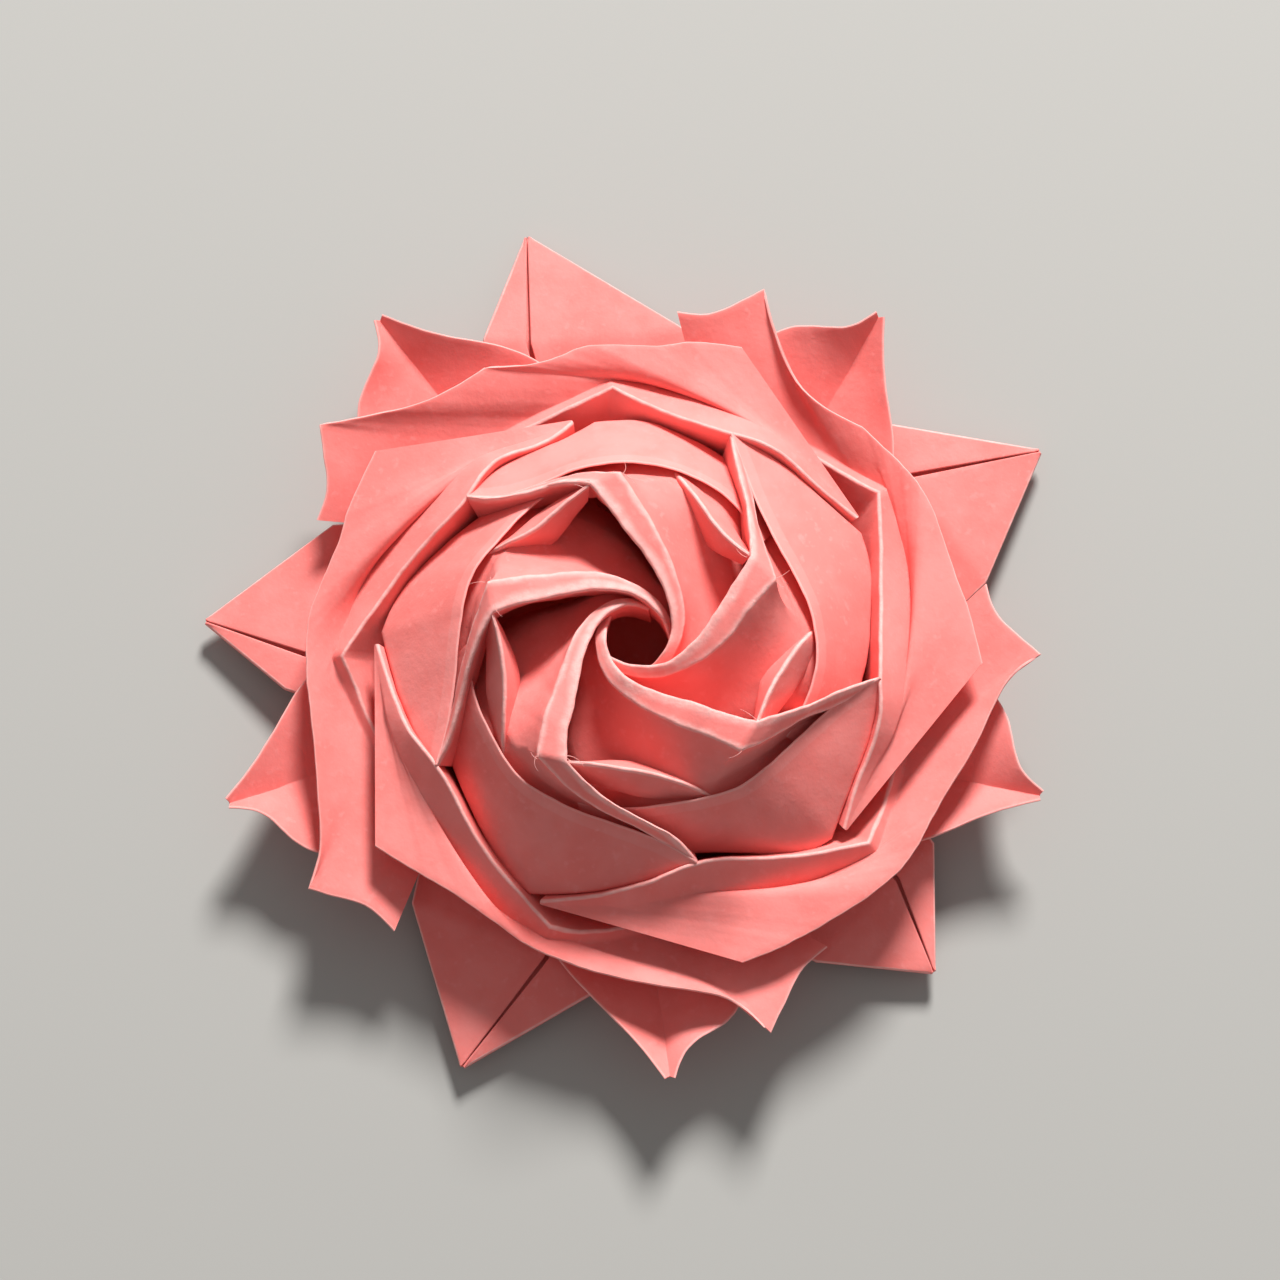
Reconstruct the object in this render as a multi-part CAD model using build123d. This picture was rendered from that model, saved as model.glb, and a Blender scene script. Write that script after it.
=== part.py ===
from build123d import *
import math
import os

# A rose folded from one pentagon of paper: five equal petals turn about the
# middle, each made of an outer petal with its upright fold, a broad inner
# petal, and a crest that winds into the hole at the middle.
# Frame: the origin is the middle of the flat underside, +Z is up.
# Points are (radius mm, angle degrees, height mm) on the first petal; its
# four copies follow clockwise.

# Driving dimensions, mm and degrees
PAPER = 0.30            # thickness of a folded edge of the sheet
SLIT = 0.35             # width of the slit along a sepal
BASE_R = 18.2           # corner radius of the flat twist underneath
BASE_T = 0.8
TWIST_R = 8.5           # small pentagon at the middle of the underside
TWIST_TURN = 22.0
PLEAT_W = 0.9           # pleat underneath, as a share of the pentagon's side
PLEAT_LEAN = 0.16       # how far a pleat sits to one side, share of that side
PLEAT_LAP = 1.0         # how far a pleat reaches in under the pentagon
PLEAT_END = 0.4         # from a pleat's outer end to the edge of the flat
PLEAT_Z = 0.15          # underside of the pleats
PETALS = 5
SEPAL_R = 36.1          # middle to sepal tip
SEPAL_Z = 1.6           # height of the sepal tip
FLAP_R = 34.6           # middle to the tip of the boat-shaped flap
FLAP_Z = 6.0
PETAL_R = 32.1          # middle to the outer petal's tip
PETAL_Z = 7.2
LOBE_R = 28.6           # middle to the lobe folded back beside that tip
LOBE_Z = 6.0
CORNER_R = 26.6         # middle to the free corner of the outer petal
CORNER_Z = 8.5
EDGE_R = 26.0           # waist of the outer petal's free edge
KNEE_R = 23.2           # where the upright fold bends round
KNEE_Z = 8.0
TUCK_R = 21.2           # where the upright fold is tucked away
TUCK_Z = 8.2
PEAK_R = 18.6           # where the upright fold and the crest part
PEAK_Z = 11.4
BROAD_R = 14.1          # free edge of the broad petal
BROAD_Z = 13.7
SHOULDER_R = 21.0       # outer corner of the broad petal
SHOULDER_Z = 7.4
CREST_R = 11.6          # outer bend of the crest
CREST_Z = 17.6
HOLE_R = 2.5            # hole in the middle
HOLE_Z = 15.4
WALL_R = BASE_R - 0.8   # foot of the upright fold
CUP_R = WALL_R - 4.0    # foot of the broad petal
FLAT_R = BASE_R * math.cos(math.pi / PETALS)
FOOT_Z = BASE_T - 0.3   # feet end inside the flat twist

TURN = 360 / PETALS

SEPAL = (SEPAL_R, 101.4, SEPAL_Z)
SEPAL_L = (SEPAL_R - 7.6, 114.9, SEPAL_Z + 0.8)
SEPAL_M = (SEPAL_R - 9.2, 107.0, SEPAL_Z + 1.0)
SEPAL_S = (SEPAL_R - 8.2, 83.5, SEPAL_Z + 0.8)
LOBE = (LOBE_R, 84.7, LOBE_Z)
TIP = (PETAL_R, 71.9, PETAL_Z)
FLAP = (FLAP_R, 55.4, FLAP_Z)
CORNER = (CORNER_R, 71.3, CORNER_Z)
KNEE = (KNEE_R, 104.5, KNEE_Z)
PEAK = (PEAK_R, 66.7, PEAK_Z)
CREST = (CREST_R, 103.6, CREST_Z)
TUCK = (TUCK_R, 33.5, TUCK_Z)
HOLE = (HOLE_R, -35.0, HOLE_Z)

# How far each corner of the hand-folded rose strays from the regular one,
# petal by petal and clockwise: millimetres outwards, degrees round.
STRAY = (
    (LOBE, (0.3, -0.1, -0.9, 0.9, -0.2), (-0.8, -0.5, 1.6, -0.1, -0.3)),
    (TIP, (-0.2, -0.1, 0.0, 0.3, 0.0), (-0.4, 0.1, 0.8, -0.2, -0.2)),
    (FLAP, (0.0, -0.6, -0.6, 0.4, 0.8), (0.2, -2.7, 2.6, 0.4, -0.4)),
    (CORNER, (-0.2, 0.7, -0.3, -0.4, 0.3), (0.5, -1.4, 0.5, 1.5, -1.1)),
    (KNEE, (-1.2, 0.1, 0.6, 0.0, 0.6), (-9.0, 2.1, -0.9, 3.6, 4.1)),
    (PEAK, (0.1, 0.6, -0.5, 0.2, -0.3), (0.3, -2.9, 1.6, 0.6, 0.3)),
    (CREST, (0.6, -1.1, 0.2, 0.4, 0.0), (5.2, 1.6, 0.9, -5.9, -1.8)),
    (TUCK, (-0.6, 0.4, 0.4, -0.2, -1.5), (-1.2, -2.9, -0.9, 0.7, 0.5)),
    (SEPAL, (1.5, 1.4, -1.8, -0.6, -0.5), (3.0, -0.4, -3.9, 1.0, 0.3)),
    (SEPAL_L, (1.8, 0.3, -0.8, -1.6, 0.3), (0.3, 1.8, -2.3, 3.3, -3.1)),
    (SEPAL_M, (1.6, -0.1, 0.2, -1.9, 0.3), (1.7, 1.0, -3.3, 1.6, -1.0)),
    (SEPAL_S, (0.6, 1.0, 0.0, -1.3, -0.3), (-0.9, 2.2, 0.7, -1.0, -0.9)),
)
# The same for the free edge of the outer petals, outwards at seven stations.
EDGE_STRAY = (
    (-0.1, -0.3, -0.3, -0.8, 0.3, 0.3, 0.8),
    (0.4, 0.4, 0.3, 0.1, -0.5, -1.6, -0.5),
    (0.3, 0.7, 0.9, 0.9, 0.4, 0.8, 0.1),
    (-0.8, -1.1, -1.3, -0.8, -0.5, -0.2, -0.9),
    (0.2, 0.2, 0.4, 0.6, 0.3, 0.7, 0.5),
)
UPPER = (LOBE, TIP, FLAP, CORNER, KNEE, PEAK, CREST, TUCK)


def plan(r, a):
    """Plan position of a polar point."""
    return r * math.cos(math.radians(a)), r * math.sin(math.radians(a))


def stray_marks():
    """Upper corners of the regular rose and how far each one strays."""
    marks = []
    for point, out, round_ in STRAY:
        if point not in UPPER:
            continue
        for k in range(PETALS):
            x0, y0 = plan(point[0], point[1] - TURN * k)
            x1, y1 = plan(point[0] + out[k], point[1] + round_[k] - TURN * k)
            marks.append((x0, y0, x1 - x0, y1 - y0))
    return marks


def mix(p, q, t, dr=0.0, da=0.0, dz=0.0):
    """Polar point at share t from p to q, moved by the given amounts."""
    return tuple(a + (b - a) * t + d for a, b, d in zip(p, q, (dr, da, dz)))


def move(p, dr=0.0, da=0.0, dz=0.0):
    """Polar point p moved by the given amounts."""
    return p[0] + dr, p[1] + da, p[2] + dz


def beside(p):
    """The same point on the next petal counter-clockwise."""
    return p[0], p[1] + TURN, p[2]


def own(point, k):
    """A corner of petal k with its own stray."""
    for p, out, round_ in STRAY:
        if p == point:
            return move(point, out[k], round_[k])
    raise ValueError("this corner has no stray")


def off(rail, out, round_, down):
    """A rail that runs beside another one, at the given distances."""
    return [move(p, o, a, -d) for p, o, a, d in zip(rail, out, round_, down)]


def petal_edge(k):
    """Free edge of the outer petal; its last four points are the small lobe
    folded back beside the petal's tip."""
    end, lobe = beside(own(TIP, k - 1)), beside(own(LOBE, k - 1))
    waist = [
        (EDGE_R, 80.0, CORNER_Z),
        (EDGE_R - 0.4, 87.0, CORNER_Z - 0.1),
        (EDGE_R - 0.1, 97.5, CORNER_Z - 0.3),
        (EDGE_R + 0.1, 107.0, CORNER_Z - 0.5),
        (EDGE_R + 0.4, 118.0, PETAL_Z + 0.6),
        (EDGE_R + 1.3, 131.8, PETAL_Z + 0.3),
        (EDGE_R + 3.4, 139.8, PETAL_Z + 0.1),
    ]
    return [
        own(CORNER, k),
        *(move(p, out) for p, out in zip(waist, EDGE_STRAY[k])),
        end,
        mix(end, lobe, 0.32, -0.75, -0.3),
        mix(end, lobe, 0.64, -1.0, -0.4),
        lobe,
    ]


def outer_petal_rails():
    """Valley, upright fold and foot of the outer petal."""
    fold = [
        TUCK,
        mix(TUCK, PEAK, 0.33, -0.45, -0.5, 0.1),
        mix(TUCK, PEAK, 0.67, -0.1, -0.3, 0.4),
        PEAK,
        mix(PEAK, KNEE, 0.45, -1.0, 0.9, -0.3),
        KNEE,
        move(KNEE, -0.7, 9.5, -1.3),
        move(KNEE, -1.2, 16.0, -1.8),
        move(KNEE, -1.9, 24.0, -2.2),
        move(KNEE, -2.4, 31.0, -2.9),
        move(KNEE, -2.9, 37.0, -3.6),
        move(KNEE, -3.4, 42.0, -4.3),
    ]
    valley = off(
        fold,
        (0.2, 0.7, 1.3, 2.1, 2.7, 0.9, 0.8, 0.8, 0.8, 0.8, 0.8, 0.8),
        (0,) * 12,
        (0.2, 0.7, 1.6, 2.4, 2.6, 1.0, 0.6, 0.5, 0.4, 0.4, 0.4, 0.4),
    )
    foot = [
        (WALL_R + 1.4, TUCK[1] + 2, TUCK_Z - 3.0),
        (WALL_R + 0.4, TUCK[1] + 11, TUCK_Z - 4.6),
        (WALL_R - 0.4, TUCK[1] + 22, FOOT_Z + 1.1),
        (WALL_R - 0.8, PEAK[1], FOOT_Z),
        (WALL_R - 0.6, PEAK[1] + 17, FOOT_Z),
        (WALL_R, KNEE[1], FOOT_Z),
        (WALL_R + 0.4, KNEE[1] + 9.5, FOOT_Z),
        (WALL_R + 0.4, KNEE[1] + 16.0, FOOT_Z),
        (WALL_R + 0.2, KNEE[1] + 24.0, FOOT_Z),
        (WALL_R, KNEE[1] + 31.0, FOOT_Z),
        (WALL_R - 0.2, KNEE[1] + 37.0, FOOT_Z),
        (WALL_R - 0.4, KNEE[1] + 42.0, FOOT_Z),
    ]
    return valley, fold, foot


def flap_rails(k):
    """Boat-shaped flap: two raised edges and the valley between them."""
    tip = own(FLAP, k)
    left = [
        move(tip, 0.0, 0.6, 0.1),
        move(tip, -2.3, 2.9, -0.1),
        move(tip, -3.9, 9.0, -0.5),
        (WALL_R + 8.2, FLAP[1] + 17.5, FLAP_Z - 1.8),
    ]
    valley = [
        move(tip, -0.2, 0.0, -0.3),
        move(tip, -3.4, -0.3, -1.9),
        move(tip, -7.4, -0.9, -3.2),
        (WALL_R - 1.6, FLAP[1] - 2.8, FOOT_Z + 0.4),
    ]
    right = [
        move(tip, 0.0, -0.6, 0.1),
        move(tip, -3.3, -4.9, -0.4),
        move(tip, -7.1, -13.8, -0.8),
        (WALL_R + 4.6, FLAP[1] - 25.0, FLAP_Z - 2.4),
    ]
    return left, valley, right


def sepal_rails(k):
    """Two edges of the sepal, and the slit where its folded sides meet."""
    tip = own(SEPAL, k)
    left = [move(tip, 0.0, 0.4), own(SEPAL_L, k), (BASE_R + 0.6, 124.0, BASE_T + 0.2)]
    slit = [tip, own(SEPAL_M, k), (FLAT_R - 1.0, 112.0, BASE_T)]
    right = [move(tip, 0.0, -0.4), own(SEPAL_S, k), (BASE_R + 0.6, 66.0, BASE_T + 0.2)]
    return left, slit, right


def broad_petal_rails():
    """Free edge, shoulder and foot of the broad inner petal."""
    start = beside(PEAK)
    free = [
        move(start, 0.0, 0.0, 0.1),
        (BROAD_R + 1.4, 125.4, BROAD_Z - 1.5),
        (BROAD_R + 0.3, 108.9, BROAD_Z - 0.5),
        (BROAD_R + 0.1, 99.0, BROAD_Z - 0.1),
        (BROAD_R + 0.1, 91.0, BROAD_Z + 0.1),
        (BROAD_R, 81.8, BROAD_Z + 0.2),
        (BROAD_R - 0.3, 67.5, BROAD_Z - 0.1),
        (BROAD_R - 0.4, 52.0, BROAD_Z - 0.7),
        (BROAD_R - 0.5, 38.0, BROAD_Z - 1.3),
    ]
    shoulder = [
        move(start, 0.3, -0.6, -0.7),
        (SHOULDER_R - 1.7, 122.0, SHOULDER_Z + 2.0),
        (SHOULDER_R - 1.0, 111.0, SHOULDER_Z + 1.0),
        (SHOULDER_R, 102.0, SHOULDER_Z),
        (SHOULDER_R - 0.7, 94.0, SHOULDER_Z),
        (SHOULDER_R - 2.1, 84.0, SHOULDER_Z + 0.4),
        (SHOULDER_R - 3.4, 71.0, SHOULDER_Z + 0.8),
        (SHOULDER_R - 4.3, 56.0, SHOULDER_Z + 0.8),
        (SHOULDER_R - 5.0, 42.0, SHOULDER_Z + 0.6),
    ]
    foot = [
        (CUP_R + 2.6, 138.0, FOOT_Z + 4.5),
        (CUP_R + 1.0, 122.0, FOOT_Z),
        (CUP_R + 0.8, 111.0, FOOT_Z),
        (CUP_R + 0.8, 102.0, FOOT_Z),
        (CUP_R + 0.5, 94.0, FOOT_Z),
        (CUP_R, 84.0, FOOT_Z),
        (CUP_R, 71.0, FOOT_Z),
        (CUP_R, 56.0, FOOT_Z),
        (CUP_R, 42.0, FOOT_Z),
    ]
    return free, shoulder, foot


def crest_rails():
    """Skirt, slope, hem crease, ridge and inner wall of the crest, which runs
    from the peak over its bend and winds down into the hole."""
    start = beside(PEAK)
    ridge = [
        start,
        mix(start, CREST, 0.22, -0.55, 3.3, -0.1),
        mix(start, CREST, 0.50, -0.6, 3.6, -0.1),
        mix(start, CREST, 0.75, -0.3, 2.7, 0.05),
        CREST,
        mix(CREST, HOLE, 0.22, 0.0, 24.9, 0.5),
        mix(CREST, HOLE, 0.46, 0.0, 50.2, 0.8),
        mix(CREST, HOLE, 0.67, 0.0, 64.3, 0.9),
        mix(CREST, HOLE, 0.846, 0.0, 61.7, 0.8),
        mix(CREST, HOLE, 0.956, 0.0, 38.9, 0.4),
        HOLE,
        move(HOLE, 0.2, -42.0, -1.7),
    ]
    hem = off(
        ridge,
        (-0.5, -0.6, -0.4, 0.0, 0.7, 0.7, 1.0, 1.1, 1.1, 0.8, 0.6, 0.5),
        (-1.6, -5.3, -7.3, -9.5, -11.1, -11.0, -11.5, -10.0, -4.0, -2.0, -1.0, -1.0),
        (0.3, 0.4, 0.3, 0.3, 0.25, 0.25, 0.3, 0.35, 0.4, 0.5, 0.6, 0.7),
    )
    slope = off(
        hem,
        (-1.0, -0.6, -0.3, 0.1, 0.7, 2.3, 3.0, 2.4, 1.3, 1.0, 0.8, 0.7),
        (-2.6, -5.0, -5.5, -8.6, -14.5, -27.0, -38.5, -43.0, -40.0, -34.0, -26.0, -22.0),
        (2.6, 2.8, 3.0, 3.1, 3.6, 3.9, 4.0, 3.6, 3.1, 2.6, 2.4, 1.7),
    )
    skirt = off(
        slope,
        (0.9, 1.3, 1.9, 2.1, 2.2, 2.2, 2.1, 1.3, 0.8, 0.6, 0.5, 0.4),
        (0.0, 0.0, 0.0, -2.0, -2.0, -2.0, -2.0, -2.0, 0.0, 0.0, 0.0, 0.0),
        (1.2, 1.4, 1.7, 1.9, 2.0, 2.2, 2.4, 2.6, 2.3, 2.0, 1.8, 1.4),
    )
    wall = off(
        ridge,
        (-1.2, -1.1, -0.8, -0.55, 0.1, 0.3, 0.5, 0.5, 0.5, 0.5, 0.5, 0.4),
        (0.3, -0.8, -0.8, -1.1, -2.6, -4.0, -5.0, -5.0, -4.0, -2.0, -2.0, -2.0),
        (3.2, 3.6, 3.8, 4.0, 4.8, 4.6, 4.5, 4.6, 5.2, 6.0, 6.6, 6.4),
    )
    return skirt, slope, hem, ridge, wall


def inner_fold_rails():
    """Small fold that runs back from the bend of the crest."""
    top = [
        move(CREST, 0.0, 0.5, -0.25),
        move(CREST, -0.5, 9.9, -0.7),
        move(CREST, -0.5, 20.4, -1.2),
        move(CREST, 0.2, 32.4, -2.0),
        move(CREST, 1.6, 42.4, -3.4),
        move(CREST, 2.6, 47.0, -5.2),
    ]
    outside = off(top, (0.6, 1.0, 1.4, 1.4, 1.4, 1.4), (0.6,) * 6, (2.6, 2.8, 3.0, 3.0, 3.0, 3.0))
    inside = off(top, (-0.5, -0.8, -1.1, -1.1, -1.1, -1.1), (1.5,) * 6, (2.8, 3.0, 3.2, 3.2, 3.2, 3.2))
    return outside, top, inside


# Folded sheet as a closed body
MARKS = stray_marks()


def fixed(p, k):
    """Point p of petal k in space."""
    x, y = plan(p[0], p[1] - TURN * k)
    return Vector(x, y, p[2])


def placed(p, k):
    """Point p of petal k in space; it strays as the corners near it do."""
    x, y = plan(p[0], p[1] - TURN * k)
    total, dx, dy = 1e-9, 0.0, 0.0
    for mx, my, sx, sy in MARKS:
        w = 1 / ((x - mx) ** 2 + (y - my) ** 2 + 0.05) ** 1.5
        total += w
        dx += w * sx
        dy += w * sy
    return Vector(x + dx / total, y + dy / total, p[2])


def unit(v):
    return v * (1 / v.length)


def panel_normals(rails, j):
    """Normals at station j of the panels between neighbouring rails."""
    last = len(rails[0]) - 1
    ahead, back = min(j + 1, last), max(j - 1, 0)
    out = []
    for a, b in zip(rails, rails[1:]):
        along = (a[ahead] - a[back]) + (b[ahead] - b[back])
        out.append(unit(along.cross(b[j] - a[j])))
    return out


def skins(rails, thick):
    """The rails moved half the thickness to either side of the sheet."""
    upper = [[] for _ in rails]
    lower = [[] for _ in rails]
    for j in range(len(rails[0])):
        normals = panel_normals(rails, j)
        for i in range(len(rails)):
            n1 = normals[max(i - 1, 0)]
            n2 = normals[min(i, len(normals) - 1)]
            n = unit(n1 + n2)
            reach = thick / 2 / max(0.55, n.dot(n1))
            upper[i].append(rails[i][j] + n * reach)
            lower[i].append(rails[i][j] - n * reach)
    return upper, lower


def curve(points, steps):
    """Points along a smooth curve through the given ones, steps to a gap."""
    if steps == 1 or len(points) < 3:
        return points
    spline = Edge.make_spline(points)
    at = [spline.param_at_point(p) for p in points]
    out = [points[0]]
    for a, b, q in zip(at, at[1:], points[1:]):
        for n in range(1, steps):
            out.append(spline.position_at(a + (b - a) * n / steps))
        out.append(q)
    return out


def rail(points, corners, steps):
    """A rail through the points: smooth, but for a crease at each corner."""
    stops = [0] + sorted(corners) + [len(points) - 1]
    out = [points[0]]
    for a, b in zip(stops, stops[1:]):
        out += curve(points[a : b + 1], steps)[1:]
    return out


def facet(*corners):
    """Flat face with the given corners."""
    return Face(Wire.make_polygon(list(corners), close=True))


def quad(a, b, c, d):
    """Two triangular facets, bent along the shorter diagonal."""
    if (c - a).length < (d - b).length:
        return [facet(a, b, c), facet(a, c, d)]
    return [facet(a, b, d), facet(b, c, d)]


def tube(rows, flat_ends=False):
    """Closed body from rows of points that run side by side round it."""
    faces = []
    for a, b in zip(rows, rows[1:] + rows[:1]):
        for j in range(len(a) - 1):
            faces += quad(a[j], b[j], b[j + 1], a[j + 1])
    half = len(rows) // 2
    for j in (0, -1):
        ring = [row[j] for row in rows]
        if flat_ends:
            faces.append(facet(*ring))
            continue
        for i in range(half - 1):
            faces += quad(ring[i], ring[i + 1], ring[-2 - i], ring[-1 - i])
    body = Solid(Shell(faces))
    if not body.is_valid or body.volume <= 0:
        raise ValueError("a folded strip did not close")
    return body


def strip(rails, corners=(), steps=1):
    """Thin body of one folded strip: the rails are its folds and edges, and
    the paper runs straight from each rail to the next."""
    rows = [rail(r, corners, steps) for r in rails]
    upper, lower = skins(rows, PAPER)
    return tube(upper + lower[::-1])


def strayed(rails, k):
    return [[placed(p, k) for p in r] for r in rails]


def straight(rails, k):
    return [[fixed(p, k) for p in r] for r in rails]


def sepal(k):
    """Sepal: the corner of the sheet with both its sides folded over, so
    that they meet in a slit along its middle."""
    up = Vector(0, 0, 1)
    sections = []
    for a, m, b in zip(*straight(sepal_rails(k), k)):
        share = (m - a).dot(b - a) / (b - a).dot(b - a)
        m = a + (b - a) * share
        half = unit(b - a) * min(SLIT / 2, 0.3 * (m - a).length)
        deck, floor = up * (PAPER + 0.05), up * 0.02
        sections.append((
            a - up * PAPER,
            b - up * PAPER,
            b + up * (PAPER - 0.1),
            m + half + deck,
            m + half + floor,
            m - half + floor,
            m - half + deck,
            a + up * (PAPER - 0.1),
        ))
    return tube([list(row) for row in zip(*sections)], flat_ends=True)


def base():
    """Flat twist underneath: a small pentagon turned over five pleats."""
    flat = extrude(RegularPolygon(BASE_R, PETALS), BASE_T - PAPER)
    body = Pos(0, 0, PAPER) * flat
    side = 2 * TWIST_R * math.sin(math.pi / PETALS)
    inner = TWIST_R * math.cos(math.pi / PETALS) - PLEAT_LAP
    outer = FLAT_R - PLEAT_END
    pleat = Pos(inner, side * PLEAT_LEAN, PLEAT_Z) * Box(
        outer - inner,
        side * PLEAT_W,
        PAPER,
        align=(Align.MIN, Align.CENTER, Align.MIN),
    )
    for k in range(PETALS):
        body = body + Rot(0, 0, TWIST_TURN + TURN * (k + 0.5)) * pleat
    knot = extrude(RegularPolygon(TWIST_R, PETALS), PAPER)
    return body + Rot(0, 0, TWIST_TURN) * knot


def main():
    os.makedirs("parts", exist_ok=True)
    layers = []
    for k in range(PETALS):
        edge = straight([petal_edge(k)], k)
        layers.append(strip(edge + strayed(outer_petal_rails(), k), corners=(5, 8)))
        layers.append(strip(straight(flap_rails(k), k), steps=2))
        layers.append(strip(strayed(broad_petal_rails(), k), corners=(3,), steps=2))
        layers.append(strip(strayed(crest_rails(), k), corners=(4,)))
        layers.append(strip(strayed(inner_fold_rails(), k)))
        layers.append(sepal(k))
    rose = base().solids()[0].fuse(*layers).solids()
    if len(rose) != 1 or not rose[0].is_valid:
        raise ValueError("the folded sheet is not one body")
    rose[0].label = "folded_rose"
    export_step(rose[0], "parts/folded_rose.step")


main()
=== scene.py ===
import math

import bpy
import numpy as np
from bpy.props import FloatProperty, FloatVectorProperty, PointerProperty
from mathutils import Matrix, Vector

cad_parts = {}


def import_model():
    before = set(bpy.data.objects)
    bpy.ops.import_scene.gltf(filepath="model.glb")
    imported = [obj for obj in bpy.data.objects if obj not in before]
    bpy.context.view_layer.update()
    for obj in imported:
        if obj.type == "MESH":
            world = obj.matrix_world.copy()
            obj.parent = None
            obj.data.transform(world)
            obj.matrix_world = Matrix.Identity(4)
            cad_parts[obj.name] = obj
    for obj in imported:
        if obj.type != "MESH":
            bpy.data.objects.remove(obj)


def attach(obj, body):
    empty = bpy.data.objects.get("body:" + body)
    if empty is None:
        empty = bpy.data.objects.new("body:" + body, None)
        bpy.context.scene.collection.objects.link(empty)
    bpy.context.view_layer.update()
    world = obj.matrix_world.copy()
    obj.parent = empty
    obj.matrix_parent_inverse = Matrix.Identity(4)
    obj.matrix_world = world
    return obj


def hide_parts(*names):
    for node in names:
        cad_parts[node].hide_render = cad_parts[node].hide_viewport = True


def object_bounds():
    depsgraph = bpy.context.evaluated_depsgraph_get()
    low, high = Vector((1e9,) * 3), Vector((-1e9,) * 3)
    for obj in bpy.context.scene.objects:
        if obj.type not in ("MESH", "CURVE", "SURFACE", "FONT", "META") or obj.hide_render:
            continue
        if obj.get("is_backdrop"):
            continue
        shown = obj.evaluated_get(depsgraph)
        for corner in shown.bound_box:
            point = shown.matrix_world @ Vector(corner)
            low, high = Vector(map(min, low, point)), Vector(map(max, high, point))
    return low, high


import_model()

bl_info = {
    "name": "Folded Paper Rose",
    "version": (1, 0, 0),
    "blender": (4, 5, 0),
    "location": "3D View > Sidebar > Rose",
    "description": "Builds the folded paper rose, its paper and its plain stage",
    "category": "Add Mesh",
}

MM = 0.001
NODE = "folded_rose"

# Sizes in mm and degrees. Points are (radius, angle, height) on the first
# petal; its four copies follow clockwise. The origin is the middle of the
# flat underside and +Z is up.
BASE_R = 18.2           # corner radius of the flat twist underneath
BASE_T = 0.8
TWIST_R = 8.5           # small pentagon at the middle of the underside
TWIST_TURN = 22.0
PETALS = 5
SEPAL_R = 36.1          # middle to sepal tip
SEPAL_Z = 1.6           # height of the sepal tip
FLAP_R = 34.6           # middle to the tip of the boat-shaped flap
FLAP_Z = 6.0
PETAL_R = 32.1          # middle to the outer petal's tip
PETAL_Z = 7.2
LOBE_R = 28.6           # middle to the lobe folded back beside that tip
LOBE_Z = 6.0
CORNER_R = 26.6         # middle to the free corner of the outer petal
CORNER_Z = 8.5
EDGE_R = 26.0           # waist of the outer petal's free edge
KNEE_R = 23.2           # where the upright fold bends round
KNEE_Z = 8.0
TUCK_R = 21.2           # where the upright fold is tucked away
TUCK_Z = 8.2
PEAK_R = 18.6           # where the upright fold and the crest part
PEAK_Z = 11.4
BROAD_R = 14.1          # free edge of the broad petal
BROAD_Z = 13.7
SHOULDER_R = 21.0       # outer corner of the broad petal
SHOULDER_Z = 7.4
CREST_R = 11.6          # outer bend of the crest
CREST_Z = 17.6
HOLE_R = 2.5            # hole in the middle
HOLE_Z = 15.4
WALL_R = BASE_R - 0.8   # foot of the upright fold
CUP_R = WALL_R - 4.0    # foot of the broad petal
FLAT_R = BASE_R * math.cos(math.pi / PETALS)
FOOT_Z = BASE_T - 0.3   # feet end inside the flat twist

TURN = 360 / PETALS

SEPAL = (SEPAL_R, 101.4, SEPAL_Z)
SEPAL_L = (SEPAL_R - 7.6, 114.9, SEPAL_Z + 0.8)
SEPAL_M = (SEPAL_R - 9.2, 107.0, SEPAL_Z + 1.0)
SEPAL_S = (SEPAL_R - 8.2, 83.5, SEPAL_Z + 0.8)
LOBE = (LOBE_R, 84.7, LOBE_Z)
TIP = (PETAL_R, 71.9, PETAL_Z)
FLAP = (FLAP_R, 55.4, FLAP_Z)
CORNER = (CORNER_R, 71.3, CORNER_Z)
KNEE = (KNEE_R, 104.5, KNEE_Z)
PEAK = (PEAK_R, 66.7, PEAK_Z)
CREST = (CREST_R, 103.6, CREST_Z)
TUCK = (TUCK_R, 33.5, TUCK_Z)
HOLE = (HOLE_R, -35.0, HOLE_Z)

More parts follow.
